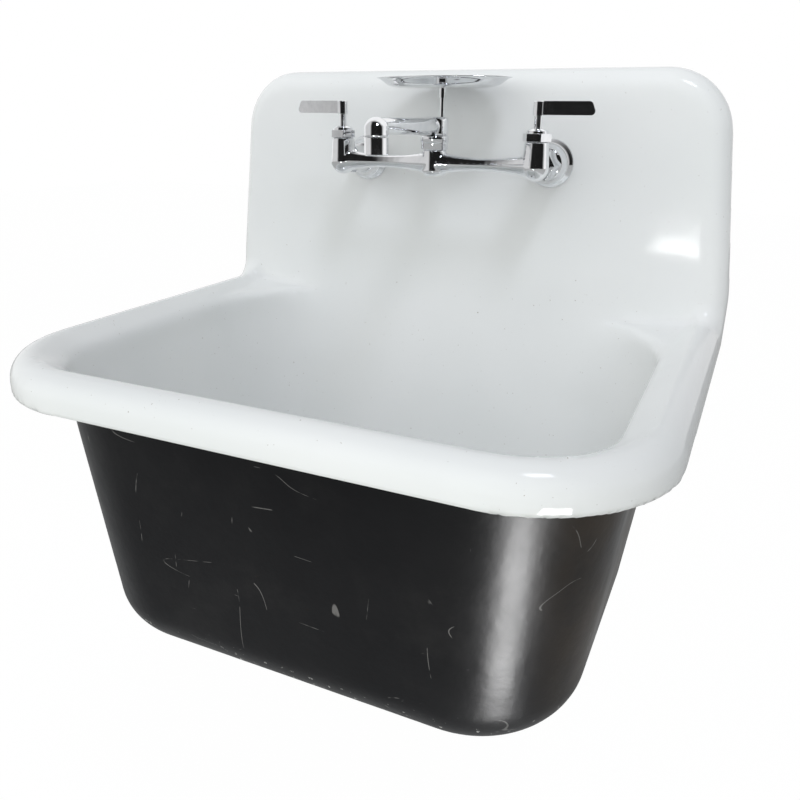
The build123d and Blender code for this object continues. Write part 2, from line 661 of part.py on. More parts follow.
spout_foot = spout_nut_top + seat_gap
outlet_y = valve_y - spout_reach
arm_top = spout_top - 0.4
with BuildPart() as spout:
    revolve(upright(0, valve_y, [(0, spout_tail_foot), (spout_tail_radius, spout_tail_foot),
                                 (spout_tail_radius, oring_z - 1.1),
                                 (spout_tail_radius - 1.45, oring_z - 1.1),
                                 (spout_tail_radius - 1.45, oring_z + 1.1),
                                 (spout_tail_radius, oring_z + 1.1),
                                 (spout_tail_radius, ring_low - 0.1), (ring_groove_radius, ring_low - 0.1),
                                 (ring_groove_radius, ring_high + 0.1), (spout_tail_radius, ring_high + 0.1),
                                 (spout_tail_radius, spout_foot), (spout_hub_radius - 0.8, spout_foot),
                                 (spout_hub_radius, spout_foot + 0.8), (spout_hub_radius, spout_top - 3),
                                 (spout_hub_radius - 1, spout_top - 1), (spout_hub_radius - 3, spout_top),
                                 (0, spout_top)]), axis=up(0, valve_y))
    with BuildSketch(Plane.XZ.offset(-valve_y)) as root:
        with Locations((0, arm_top - spout_root_radius)):
            Circle(spout_root_radius)
    with BuildSketch(Plane.XZ.offset(-outlet_y)) as tip:
        with Locations((0, arm_top - spout_end_radius)):
            Circle(spout_end_radius)
    loft()
    with BuildSketch(Plane(origin=(0, outlet_y, 0), x_dir=(1, 0, 0), z_dir=(0, -1, 0))):
        with BuildLine():
            elbow_centre = spout_top - elbow_round
            rise = sqrt(elbow_round**2 - outlet_radius**2)
            dome = ThreePointArc((outlet_radius, elbow_centre + rise),
                                 (elbow_round * 0.6, elbow_centre + elbow_round * 0.8), (0, spout_top))
            Polyline(dome @ 1, (0, outlet_seam), (outlet_radius, outlet_seam), dome @ 0)
        make_face()
    revolve(axis=up(0, outlet_y))
    # waterway
    with BuildSketch(Plane.XY.offset(spout_tail_foot)):
        with Locations((0, valve_y)):
            Circle(spout_bore)
    extrude(amount=spout_top - spout_root_radius + 1 - spout_tail_foot, mode=Mode.SUBTRACT)
    with BuildSketch(Plane.XZ.offset(-valve_y)):
        with Locations((0, spout_top - spout_root_radius + 1)):
            Circle(spout_bore)
    extrude(amount=spout_reach, mode=Mode.SUBTRACT)
    with BuildSketch(Plane.XY.offset(outlet_seam)):
        with Locations((0, outlet_y)):
            Circle(outlet_thread_radius + run_gap)
    extrude(amount=7, mode=Mode.SUBTRACT)
spout.part.label = "spout"
export_step(spout.part, "parts/spout.step")

with BuildPart() as spout_ring:
    revolve(upright(0, valve_y, [(ring_groove_radius + run_gap, ring_low),
                                 (hub_neck_radius - seat_gap, ring_low),
                                 (hub_neck_radius - seat_gap, ring_high),
                                 (ring_groove_radius + run_gap, ring_high)]), axis=up(0, valve_y))
spout_ring.part.label = "spout_ring"
export_step(spout_ring.part, "parts/spout_ring.step")

with BuildPart() as spout_oring:
    with BuildSketch(Plane(origin=(0, valve_y, oring_z), x_dir=(1, 0, 0), z_dir=(0, -1, 0))):
        with Locations((spout_tail_radius + 0.02 - oring_radius, 0)):
            Circle(oring_radius)
    revolve(axis=up(0, valve_y))
spout_oring.part.label = "spout_oring"
export_step(spout_oring.part, "parts/spout_oring.step")

with BuildPart() as outlet_ring:
    shoulder = outlet_seam - seat_gap
    revolve(upright(0, outlet_y, [(outlet_bore, outlet_foot), (outlet_radius - 1, outlet_foot),
                                  (outlet_radius, outlet_foot + 1), (outlet_radius, shoulder),
                                  (outlet_thread_radius, shoulder), (outlet_thread_radius, shoulder + 6),
                                  (outlet_bore, shoulder + 6)]), axis=up(0, outlet_y))
    with BuildSketch(Plane.XY.offset(outlet_foot + 3)):
        with Locations((0, outlet_y)):
            Circle(outlet_bore + 0.5)
        with Locations((0, outlet_y)):
            with PolarLocations(outlet_bore * 0.62, 6):
                Circle(1.2, mode=Mode.SUBTRACT)
        with Locations((0, outlet_y)):
            Circle(1.2, mode=Mode.SUBTRACT)
    extrude(amount=1.5)
outlet_ring.part.label = "outlet_ring"
export_step(outlet_ring.part, "parts/outlet_ring.step")


# Soap dish: pressed oval tray on a stud behind the spout hub.
with BuildPart() as dish_stud:
    with BuildSketch(Plane.XY.offset(hub_foot + 8 + seat_gap)):
        with Locations((0, post_y)):
            Circle(stud_radius)
    extrude(amount=dish_foot - seat_gap - hub_foot - 8 - seat_gap)
    with BuildSketch(Plane.XY.offset(post_boss_top + seat_gap)):
        with Locations((0, post_y)):
            RegularPolygon(stud_radius * 1.8, 6, major_radius=False)
    extrude(amount=3)
    with BuildSketch(Plane.XY.offset(sleeve_foot)):
        with Locations((0, post_y)):
            Circle(lever_screw_radius + run_gap)
    extrude(amount=dish_foot - sleeve_foot, mode=Mode.SUBTRACT)
dish_stud.part.label = "dish_stud"
export_step(dish_stud.part, "parts/dish_stud.step")

with BuildPart() as dish_sleeve:
    with BuildSketch(Plane.XY.offset(sleeve_foot)):
        with Locations((0, post_y)):
            Circle(sleeve_radius)
            Circle(stud_radius + run_gap, mode=Mode.SUBTRACT)
    extrude(amount=dish_foot - seat_gap - sleeve_foot)
dish_sleeve.part.label = "dish_sleeve"
export_step(dish_sleeve.part, "parts/dish_sleeve.step")


def dish_oval(z, shrink):
    """Oval outline of the dish at height z."""
    with BuildSketch(Plane.XY.offset(z)) as outline:
        with Locations((0, post_y)):
            Ellipse(dish_half_length - shrink, dish_half_width - shrink)
    return outline.sketch


dish_step = 4.0
dish_flare = 14.0
with BuildPart() as soap_dish:
    loft([dish_oval(dish_foot, dish_flare), dish_oval(dish_foot + dish_step, dish_flare - 4)], ruled=True)
    loft([dish_oval(dish_foot + dish_step, dish_flare - 4), dish_oval(dish_rim, 0)], ruled=True)
    floor = dish_foot + dish_sheet
    inner_step = dish_oval(dish_foot + dish_step, dish_flare - 4 + dish_sheet)
    loft([dish_oval(floor, dish_flare + dish_sheet), inner_step], ruled=True, mode=Mode.SUBTRACT)
    loft([inner_step, dish_oval(dish_rim, dish_sheet)], ruled=True, mode=Mode.SUBTRACT)
    with BuildSketch(Plane.XY.offset(dish_foot)):
        with Locations((0, post_y)):
            Circle(lever_screw_radius + run_gap)
            with PolarLocations(12, 8):
                Circle(1.6)
    extrude(amount=dish_sheet, mode=Mode.SUBTRACT)
soap_dish.part.label = "soap_dish"
export_step(soap_dish.part, "parts/soap_dish.step")

with BuildPart() as dish_screw:
    head_low = dish_foot + dish_sheet + seat_gap
    revolve(upright(0, post_y, [(0, sleeve_foot + 1), (lever_screw_radius, sleeve_foot + 1),
                                (lever_screw_radius, head_low), (lever_screw_head, head_low),
                                (lever_screw_head, head_low + 0.8), (lever_screw_head - 1, head_low + 1.8),
                                (0, head_low + 1.8)]), axis=up(0, post_y))
dish_screw.part.label = "dish_screw"
export_step(dish_screw.part, "parts/dish_screw.step")


# Waste: strainer cup clamped through the floor, tailpiece below it.
cup_radius = drain_hole_radius - slip_gap
cup_flange_radius = drain_recess_radius - cup_flange_play
cup_flange_low = floor_z - drain_recess + seat_gap
cup_flange_top = cup_flange_low + cup_flange
boss_foot = -bowl_depth - drain_boss
cup_foot = boss_foot - cup_reach
grid_top = cup_flange_top - grid_drop
grid_foot = grid_top - grid_thickness
ledge_radius = cup_radius - cup_wall - 1.5
neck_foot = cup_foot - neck_length
waste_axis = up(0, drain_y)
with BuildPart() as strainer_cup:
    revolve(upright(0, drain_y, [(cup_radius - cup_wall, cup_flange_top - cup_flange * 0.75),
                                 (cup_radius + cup_wall, cup_flange_top),
                                 (cup_flange_radius - cup_flange, cup_flange_top),
                                 (cup_flange_radius, cup_flange_low + cup_flange * 0.4),
                                 (cup_flange_radius, cup_flange_low), (cup_radius, cup_flange_low),
                                 (cup_radius, cup_foot), (neck_radius, cup_foot), (neck_radius, neck_foot),
                                 (neck_bore, neck_foot), (neck_bore, cup_foot + cup_wall),
                                 (ledge_radius, cup_foot + cup_wall), (ledge_radius, grid_foot - seat_gap),
                                 (cup_radius - cup_wall, grid_foot - seat_gap)]), axis=waste_axis)
    with BuildSketch(Plane.XY.offset(cup_foot + cup_wall)):
        with Locations((0, drain_y)):
            Rectangle(neck_bore + ledge_radius, crossbar_width)
            Circle(crossbar_width)
            Circle(lever_screw_radius + run_gap, mode=Mode.SUBTRACT)
    extrude(amount=crossbar_height)
strainer_cup.part.label = "strainer_cup"
export_step(strainer_cup.part, "parts/strainer_cup.step")

with BuildPart() as strainer_grid:
    grid_radius = cup_radius - cup_wall - run_gap
    with BuildSketch(Plane.XY.offset(grid_foot)):
        with Locations((0, drain_y)):
            Circle(grid_radius)
            Circle(lever_screw_radius + run_gap, mode=Mode.SUBTRACT)
            with PolarLocations(grid_radius * 0.34, 6):
                Circle(grid_radius * 0.085, mode=Mode.SUBTRACT)
            with PolarLocations(grid_radius * 0.62, 12):
                Circle(grid_radius * 0.085, mode=Mode.SUBTRACT)
    extrude(amount=grid_thickness)
strainer_grid.part.label = "strainer_grid"
export_step(strainer_grid.part, "parts/strainer_grid.step")

with BuildPart() as grid_screw:
    head = grid_top + seat_gap
    tip = cup_foot + cup_wall + 1
    revolve(upright(0, drain_y, [(0, tip), (lever_screw_radius, tip), (lever_screw_radius, head),
                                 (lever_screw_head, head), (lever_screw_head * 0.8, head + 1.8),
                                 (0, head + 2)]), axis=waste_axis)
grid_screw.part.label = "grid_screw"
export_step(grid_screw.part, "parts/grid_screw.step")

gasket_top = boss_foot - seat_gap
gasket_foot = gasket_top - gasket_sheet
with BuildPart() as waste_gasket:
    revolve(upright(0, drain_y, [(cup_radius + slip_gap, gasket_foot),
                                 (cup_radius + gasket_band, gasket_foot),
                                 (cup_radius + gasket_band, gasket_top),
                                 (cup_radius + slip_gap, gasket_top)]), axis=waste_axis)
waste_gasket.part.label = "waste_gasket"
export_step(waste_gasket.part, "parts/waste_gasket.step")

friction_top = gasket_foot - seat_gap
friction_foot = friction_top - friction_sheet
with BuildPart() as friction_washer:
    revolve(upright(0, drain_y, [(cup_radius + slip_gap, friction_foot),
                                 (cup_radius + friction_band, friction_foot),
                                 (cup_radius + friction_band, friction_top),
                                 (cup_radius + slip_gap, friction_top)]), axis=waste_axis)
friction_washer.part.label = "friction_washer"
export_step(friction_washer.part, "parts/friction_washer.step")

clamp_top = friction_foot - seat_gap
clamp_foot = clamp_top - clamp_height
with BuildPart() as waste_locknut:
    revolve(upright(0, drain_y, [(cup_radius + run_gap, clamp_foot),
                                 (cup_radius + clamp_body_band, clamp_foot),
                                 (cup_radius + clamp_body_band, clamp_top - clamp_flange),
                                 (cup_radius + clamp_flange_band, clamp_top - clamp_flange),
                                 (cup_radius + clamp_flange_band, clamp_top),
                                 (cup_radius + run_gap, clamp_top)]), axis=waste_axis)
    with BuildSketch(Plane.XY.offset(clamp_foot)):
        with Locations((0, drain_y)):
            with PolarLocations(cup_radius + clamp_flange_band, 6):
                Circle(notch_radius)
    extrude(amount=clamp_height, mode=Mode.SUBTRACT)
waste_locknut.part.label = "waste_locknut"
export_step(waste_locknut.part, "parts/waste_locknut.step")

tail_washer_top = neck_foot - seat_gap
tail_washer_foot = tail_washer_top - friction_sheet
tail_top = tail_washer_foot - seat_gap
tail_flange_foot = tail_top - tail_flange
with BuildPart() as tail_washer:
    revolve(upright(0, drain_y, [(neck_bore, tail_washer_foot),
                                 (neck_radius - tail_flange_play, tail_washer_foot),
                                 (neck_radius - tail_flange_play, tail_washer_top),
                                 (neck_bore, tail_washer_top)]), axis=waste_axis)
tail_washer.part.label = "tail_washer"
export_step(tail_washer.part, "parts/tail_washer.step")

with BuildPart() as tailpiece:
    tail_bore = tail_tube_radius - tail_wall
    revolve(upright(0, drain_y, [(tail_bore, tail_top - tail_length),
                                 (tail_tube_radius, tail_top - tail_length),
                                 (tail_tube_radius, tail_flange_foot - tail_relief_length),
                                 (tail_tube_radius - tail_relief, tail_flange_foot - tail_relief_length),
                                 (tail_tube_radius - tail_relief, tail_flange_foot),
                                 (neck_radius - tail_flange_play, tail_flange_foot),
                                 (neck_radius - tail_flange_play, tail_top),
                                 (tail_bore, tail_top)]), axis=waste_axis)
tailpiece.part.label = "tailpiece"
export_step(tailpiece.part, "parts/tailpiece.step")

with BuildPart() as tail_nut:
    shelf = tail_flange_foot - seat_gap
    nut_foot = shelf - tail_nut_shoulder
    nut_top = cup_foot - tail_nut_gap
    revolve(upright(0, drain_y, [(tail_tube_radius + run_gap, nut_foot),
                                 (neck_radius + tail_nut_wall - 1, nut_foot),
                                 (neck_radius + tail_nut_wall, nut_foot + 1),
                                 (neck_radius + tail_nut_wall, nut_top), (neck_radius + run_gap, nut_top),
                                 (neck_radius + run_gap, shelf), (tail_tube_radius + run_gap, shelf)]),
            axis=waste_axis)
    with BuildSketch(Plane.XY.offset(nut_foot)):
        with Locations((0, drain_y)):
            with PolarLocations(neck_radius + tail_nut_wall + grip_radius * 0.7, 12):
                Circle(grip_radius)
    extrude(amount=nut_top - nut_foot, mode=Mode.SUBTRACT)
tail_nut.part.label = "tail_nut"
export_step(tail_nut.part, "parts/tail_nut.step")
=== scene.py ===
from math import cos, pi, radians, sin

import bmesh
import bpy
from mathutils import Matrix, Vector
from mathutils.bvhtree import BVHTree


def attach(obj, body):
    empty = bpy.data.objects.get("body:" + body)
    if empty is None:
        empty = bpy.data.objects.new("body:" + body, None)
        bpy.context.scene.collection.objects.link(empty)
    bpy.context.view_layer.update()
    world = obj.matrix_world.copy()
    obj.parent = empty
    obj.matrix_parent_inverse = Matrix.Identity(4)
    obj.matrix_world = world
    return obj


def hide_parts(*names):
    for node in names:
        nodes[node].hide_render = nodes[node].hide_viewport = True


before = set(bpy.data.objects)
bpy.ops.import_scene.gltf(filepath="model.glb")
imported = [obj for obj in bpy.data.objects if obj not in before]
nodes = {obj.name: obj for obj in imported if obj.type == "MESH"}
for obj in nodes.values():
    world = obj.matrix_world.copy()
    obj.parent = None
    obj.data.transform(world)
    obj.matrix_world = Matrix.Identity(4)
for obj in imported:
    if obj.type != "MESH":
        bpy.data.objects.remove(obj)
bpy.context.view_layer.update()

# The view of the photograph: the camera stands in front of the sink and to its
# right, a little above the rim, and looks down into the bowl.
eye = Vector((0.2976, -0.8047, 0.1875))
azimuth = radians(24.7)
elevation = radians(20.7)
tilt = radians(0.5)
ahead = Vector((-sin(azimuth) * cos(elevation), cos(azimuth) * cos(elevation), -sin(elevation)))
level_right = ahead.cross(Vector((0, 0, 1))).normalized()
level_up = level_right.cross(ahead)
view_right = cos(tilt) * level_right + sin(tilt) * level_up
view_up = cos(tilt) * level_up - sin(tilt) * level_right
camera = bpy.data.objects.new("camera", bpy.data.cameras.new("camera"))
camera.data.sensor_width = 36.0
camera.data.lens = 34.16
camera.data.clip_start = 0.01
camera.matrix_world = Matrix.Translation(eye) @ Matrix((view_right, view_up, -ahead)).transposed().to_4x4()
bpy.context.scene.collection.objects.link(camera)
bpy.context.scene.camera = camera
bpy.context.scene.view_settings.view_transform = "Standard"


# Studio: a pale floor a sink's height below, a room light that is strongest from
# the front, a small lamp high on the right that throws the faucet's shadows, a
# fill from low in front, and two windows that are seen only as highlights.
def lamp(name, place, aim, width, height, watts, colour=(1, 1, 1), lights=True, mirrored=True):
    """Flat lamp at place that faces aim; it lights, is mirrored, or both."""
    light = bpy.data.lights.new(name, "AREA")
    light.shape = "RECTANGLE"
    light.size = width
    light.size_y = height
    light.energy = watts
    light.color = colour
    holder = bpy.data.objects.new(name, light)
    holder.location = place
    holder.rotation_euler = (Vector(aim) - Vector(place)).to_track_quat("-Z", "Y").to_euler()
    holder.visible_camera = False
    holder.visible_diffuse = lights
    holder.visible_glossy = mirrored
    bpy.context.scene.collection.objects.link(holder)


bluish = (0.93, 0.97, 1.08)
greenish = (1.0, 1.03, 0.95)
faucet = (0.0, -0.1, 0.05)
front_rim = (0.0, -0.43, -0.02)
front_right_corner = (0.20, -0.37, -0.16)
splash_right = (0.24, -0.03, 0.06)
lamp("key_lamp", (0.75, -1.12, 1.90), faucet, 0.45, 0.45, 11.0, bluish)
lamp("low_fill", (0.22, -1.35, -0.72), front_rim, 1.0, 0.4, 3.6, greenish, mirrored=False)
lamp("low_window", (0.61, -0.82, -0.62), front_right_corner, 0.24, 0.46, 15.0, lights=False)
lamp("far_window", (0.07, -2.0, -0.25), splash_right, 0.14, 0.10, 1.2, lights=False)

world = bpy.data.worlds.new("studio")
bpy.context.scene.world = world
world.use_nodes = True
tree = world.node_tree
tree.nodes.clear()


def world_node(kind, **settings):
    made = tree.nodes.new(kind)
    for key, value in settings.items():
        setattr(made, key, value)
    return made


def from_side(direction, least, middle):
    """Brightness that grows towards one direction and never drops below least."""
    dot = world_node("ShaderNodeVectorMath", operation="DOT_PRODUCT")
    tree.links.new(facing.outputs["Generated"], dot.inputs[0])
    dot.inputs[1].default_value = direction
    add = world_node("ShaderNodeMath", operation="ADD")
    tree.links.new(dot.outputs["Value"], add.inputs[0])
    add.inputs[1].default_value = middle
    at_least = world_node("ShaderNodeMath", operation="MAXIMUM")
    tree.links.new(add.outputs[0], at_least.inputs[0])
    at_least.inputs[1].default_value = least
    return at_least.outputs[0]


def ramp(value, low, high, to_low, to_high):
    """Straight ramp from to_low, where value is low, to to_high."""
    made = world_node("ShaderNodeMapRange")
    tree.links.new(value, made.inputs["Value"])
    for key, number in (("From Min", low), ("From Max", high), ("To Min", to_low), ("To Max", to_high)):
        made.inputs[key].default_value = number
    return made.outputs["Result"]


def even_light(colour):
    made = world_node("ShaderNodeBackground")
    made.inputs["Color"].default_value = (*colour, 1)
    return made


facing = world_node("ShaderNodeTexCoord")
world_out = world_node("ShaderNodeOutputWorld")
room = even_light((0.985, 1.0, 0.995))
tree.links.new(from_side((-0.40, -0.78, -0.16), 0.26, 0.57), room.inputs["Strength"])
white = even_light((1, 1, 1))
seen = even_light((1, 1, 1))
split = world_node("ShaderNodeSeparateXYZ")
tree.links.new(facing.outputs["Generated"], split.inputs[0])
backdrop = ramp(split.outputs["Y"], -0.22, 0.14, 0.012, 1.0)
left_wall = ramp(split.outputs["X"], -0.34, -0.56, 0.0, 0.68)
brightest = world_node("ShaderNodeMath", operation="MAXIMUM")
tree.links.new(backdrop, brightest.inputs[0])
tree.links.new(left_wall, brightest.inputs[1])
tree.links.new(brightest.outputs[0], seen.inputs["Strength"])
rays = world_node("ShaderNodeLightPath")
mirrored = world_node("ShaderNodeMixShader")
share = world_node("ShaderNodeMixShader")
tree.links.new(rays.outputs["Is Glossy Ray"], mirrored.inputs["Fac"])
tree.links.new(room.outputs[0], mirrored.inputs[1])
tree.links.new(seen.outputs[0], mirrored.inputs[2])
tree.links.new(rays.outputs["Is Camera Ray"], share.inputs["Fac"])
tree.links.new(mirrored.outputs[0], share.inputs[1])
tree.links.new(white.outputs[0], share.inputs[2])
tree.links.new(share.outputs[0], world_out.inputs["Surface"])

floor_height = -0.86
floor_reach = 9.0
white_share = 0.93      # of the floor's look to the camera, so that its shadow stays
bm = bmesh.new()
bmesh.ops.create_grid(bm, x_segments=1, y_segments=1, size=floor_reach)
bmesh.ops.translate(bm, verts=bm.verts, vec=(0, 0, floor_height))
floor_mesh = bpy.data.meshes.new("floor")
bm.to_mesh(floor_mesh)
bm.free()
floor = bpy.data.objects.new("floor", floor_mesh)
bpy.context.scene.collection.objects.link(floor)
floor_paint = bpy.data.materials.new("pale_floor")
floor_paint.use_nodes = True
tree = floor_paint.node_tree
matt = tree.nodes["Principled BSDF"]
matt.inputs["Base Color"].default_value = (0.7, 0.7, 0.7, 1)
matt.inputs["Roughness"].default_value = 0.9
glow = tree.nodes.new("ShaderNodeEmission")
glow.inputs["Strength"].default_value = 1.04
rays = tree.nodes.new("ShaderNodeLightPath")
share = tree.nodes.new("ShaderNodeMixShader")
keep = tree.nodes.new("ShaderNodeMath")
keep.operation = "MULTIPLY"
keep.inputs[1].default_value = white_share
tree.links.new(rays.outputs["Is Camera Ray"], keep.inputs[0])
tree.links.new(keep.outputs[0], share.inputs["Fac"])
tree.links.new(matt.outputs[0], share.inputs[1])
tree.links.new(glow.outputs[0], share.inputs[2])
tree.links.new(share.outputs[0], tree.nodes["Material Output"].inputs["Surface"])
floor_mesh.materials.append(floor_paint)


# Sink casting: one pour of grey iron, white enamel fired on the bowl, rim and
# splash back, and black paint brushed on the outside of the bowl. The mesh is
# the solid's own surface, evened out and eased as the thick enamel eases it.
def merged_copy(node):
    """New mesh with the shape of a CAD node and its loose triangles joined."""
    bm = bmesh.new()
    bm.from_mesh(nodes[node].data)
    bmesh.ops.remove_doubles(bm, verts=bm.verts, dist=1e-5)
    bmesh.ops.dissolve_degenerate(bm, edges=bm.edges, dist=1e-7)
    return bm


def as_piece(bm, name, body, slot_name, *replaced):
    """Object from a bmesh, riding on its body in place of CAD nodes."""
    mesh = bpy.data.meshes.new(name)
    bm.to_mesh(mesh)
    bm.free()
    mesh.shade_smooth()
    piece = bpy.data.objects.new(name, mesh)
    bpy.context.scene.collection.objects.link(piece)
    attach(piece, body)
    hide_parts(*replaced)
    return piece


def settle(piece):
    """Writes the result of the modifiers into the mesh."""
    depsgraph = bpy.context.evaluated_depsgraph_get()
    mesh = bpy.data.meshes.new_from_object(piece.evaluated_get(depsgraph), depsgraph=depsgraph)
    piece.modifiers.clear()
    piece.data = mesh


def even_skin(piece, cell, passes, hold=True):
    """Even quads of the given size over the shape, then smoothed."""
    skin = piece.modifiers.new("skin", "REMESH")
    skin.mode = "VOXEL"
    skin.voxel_size = cell
    skin.use_smooth_shade = True
    if hold:
        first = piece.modifiers.new("first", "SMOOTH")
        first.iterations = 3
        source = bpy.data.objects.new(piece.name + "_source", piece.data.copy())
        bpy.context.scene.collection.objects.link(source)
        fit = piece.modifiers.new("fit", "SHRINKWRAP")
        fit.target = source
        fit.wrap_method = "NEAREST_SURFACEPOINT"
    last = piece.modifiers.new("last", "SMOOTH")
    last.factor = 0.5
    last.iterations = passes
    settle(piece)
    if hold:
        bpy.data.objects.remove(source)


def smoothstep(low, high, value):
    """0 below low, 1 above high, eased between."""
    share = min(max((value - low) / (high - low), 0.0), 1.0)
    return share * share * (3 - 2 * share)


def ease_by(piece, weight_of, passes):
    """Smooths the piece where weight_of(vertex) is above nothing."""
    group = piece.vertex_groups.new(name="ease")
    for vertex in piece.data.vertices:
        weight = weight_of(vertex)
        if weight > 0:
            group.add([vertex.index], weight, "REPLACE")
    ease = piece.modifiers.new("ease", "SMOOTH")
    ease.factor = 0.5
    ease.iterations = passes
    ease.vertex_group = "ease"
    settle(piece)
    piece.vertex_groups.clear()


iron_cell = 0.0042
casting = as_piece(merged_copy("sink_casting"), "sink_body", "sink", "enamelled_iron", "sink_casting")
even_skin(casting, iron_cell, 2)


def in_dish(vertex):
    """Weight for the shelf, the lip and the coves inside the rim."""
    x, y, z = vertex.co
    over = smoothstep(-0.045, -0.035, z) * (1 - smoothstep(0.03, 0.045, z))
    within = smoothstep(-0.262, -0.254, -abs(x)) * smoothstep(-0.411, -0.401, y)
    facing = smoothstep(-0.3, 0.2, vertex.normal.z + max(0.0, -vertex.normal.y))
    return over * within * facing * (1 if y < -0.02 and vertex.normal.z > -0.3 else 0)


def at_knee(vertex):
    """Weight for the long bend where the splash back runs into the bowl."""
    x, y, z = vertex.co
    height = smoothstep(-0.1, -0.07, z) * (1 - smoothstep(0.06, 0.1, z))
    width = 1 - smoothstep(0.15, 0.215, abs(x))
    return height * width * (1 if -0.075 < y < -0.02 and vertex.normal.y < -0.5 else 0)


ease_by(casting, in_dish, 4)
ease_by(casting, at_knee, 240)

# the enamel ends in a clean line along the foot of the rim; below it only the
# inside of the bowl is enamelled, and hollows and the back are painted black
bm = bmesh.new()
bm.from_mesh(casting.data)
shell = BVHTree.FromBMesh(bm)
bm.free()
in_bowl = casting.data.attributes.new("in_bowl", "FLOAT", "POINT")
in_hollow = casting.data.attributes.new("in_hollow", "FLOAT", "POINT")
straight_up = Vector((0, 0, 1))
hollow_roof = -0.008        # the hollow under the rim lies between these two heights
hollow_foot = -0.0285
bowl_top = -0.02
splash_front = -0.02        # in front of this nothing is roofed above the hollow
splash_rear = -0.0165       # the plate's rear face, between the ribs
for vertex in casting.data.vertices:
    place, normal = vertex.co, vertex.normal
    start = place + normal * 0.002
    covered = place.z < hollow_roof or place.y > splash_front
    covered = covered and shell.ray_cast(start, straight_up)[0] is not None
    level = Vector((normal.x, normal.y, 0))
    outward = level.length > 0.3 and shell.ray_cast(start, level)[0] is None
    behind = normal.y > 0.6 and place.y > -0.03
    behind = behind or (place.y > splash_rear and shell.ray_cast(start, normal)[0] is not None)
    bowl = place.z < bowl_top and not covered and not outward
    hidden = behind or (covered and not outward and place.z > hollow_foot)
    in_bowl.data[vertex.index].value = 1.0 if bowl else 0.0
    in_hollow.data[vertex.index].value = 1.0 if hidden else 0.0


class Shade:
    """Small hand for building one material's nodes."""

    def __init__(self, name):
        self.material = bpy.data.materials.new(name)
        self.material.use_nodes = True
        self.tree = self.material.node_tree
        self.skin = self.tree.nodes["Principled BSDF"]
        self.place = self.node("ShaderNodeTexCoord").outputs["Object"]

    def node(self, kind, **settings):
        made = self.tree.nodes.new(kind)
        for key, value in settings.items():
            setattr(made, key, value)
        return made

    def feed(self, socket, value):
        if isinstance(value, bpy.types.NodeSocket):
            self.tree.links.new(value, socket)
        elif value is not None:
            socket.default_value = value

    def noise(self, scale, detail=3.0, rough=0.5, stretch=None, seed=0.0):
        where = self.place
        if stretch or seed:
            mapping = self.node("ShaderNodeMapping")
            self.feed(mapping.inputs["Vector"], where)
            mapping.inputs["Scale"].default_value = stretch or (1, 1, 1)
            mapping.inputs["Location"].default_value = (seed, seed * 0.7, seed * 0.3)
            where = mapping.outputs[0]
        made = self.node("ShaderNodeTexNoise")
        self.feed(made.inputs["Vector"], where)
        made.inputs["Scale"].default_value = scale
        made.inputs["Detail"].default_value = detail
        made.inputs["Roughness"].default_value = rough
        return made.outputs["Fac"]

    def maths(self, operation, a, b=None):
        made = self.node("ShaderNodeMath", operation=operation)
        self.feed(made.inputs[0], a)
        self.feed(made.inputs[1], b)
        return made.outputs[0]

    def span(self, value, low, high, to_low=0.0, to_high=1.0):
        made = self.node("ShaderNodeMapRange", interpolation_type="SMOOTHSTEP")
        self.feed(made.inputs["Value"], value)
        for key, number in (("From Min", low), ("From Max", high), ("To Min", to_low), ("To Max", to_high)):
            made.inputs[key].default_value = number
        return made.outputs["Result"]

    def blend(self, share, a, b):
        made = self.node("ShaderNodeMix", data_type="RGBA")
        self.feed(made.inputs["Factor"], share)
        self.feed(made.inputs["A"], a if isinstance(a, bpy.types.NodeSocket) else (*a, 1.0))
        self.feed(made.inputs["B"], b if isinstance(b, bpy.types.NodeSocket) else (*b, 1.0))
        return made.outputs["Result"]

    def bump(self, height, depth, strength=1.0, under=None):
        made = self.node("ShaderNodeBump")
        made.inputs["Strength"].default_value = strength
        made.inputs["Distance"].default_value = depth
        self.feed(made.inputs["Height"], height)
        self.feed(made.inputs["Normal"], under)
        return made.outputs["Normal"]

    def finish(self, colour, roughness, normal=None, metallic=0.0, **plain):
        self.feed(self.skin.inputs["Base Color"], colour)
        self.feed(self.skin.inputs["Roughness"], roughness)
        self.feed(self.skin.inputs["Metallic"], metallic)
        self.feed(self.skin.inputs["Normal"], normal)
        for key, value in plain.items():
            self.skin.inputs[key.replace("_", " ")].default_value = value
        return self.material


enamel_foot = (-0.0314, -0.0309)      # the enamel fades out between these heights
iron = Shade("enamel_and_black_paint")
spot = iron.node("ShaderNodeSeparateXYZ")
iron.feed(spot.inputs[0], iron.place)
inside = iron.span(iron.node("ShaderNodeAttribute", attribute_name="in_bowl").outputs["Fac"], 0.4, 0.6)
hollow = iron.span(iron.node("ShaderNodeAttribute", attribute_name="in_hollow").outputs["Fac"], 0.4, 0.6)
uneven = iron.span(iron.noise(90, 3, 0.6), 0.3, 0.7, -0.0007, 0.0007)
above_line = iron.span(iron.maths("ADD", spot.outputs["Z"], uneven), *enamel_foot)
open_above = iron.maths("MULTIPLY", above_line, iron.maths("SUBTRACT", 1.0, hollow))
enamelled = iron.maths("MAXIMUM", inside, open_above)
cloud = iron.span(iron.noise(5, 2), 0.35, 0.65)
enamel_white = iron.blend(cloud, (0.83, 0.845, 0.84), (0.86, 0.87, 0.865))
speck = iron.span(iron.noise(420, 2, 0.5, seed=3.1), 0.745, 0.77)
enamel_colour = iron.blend(speck, enamel_white, (0.45, 0.42, 0.38))


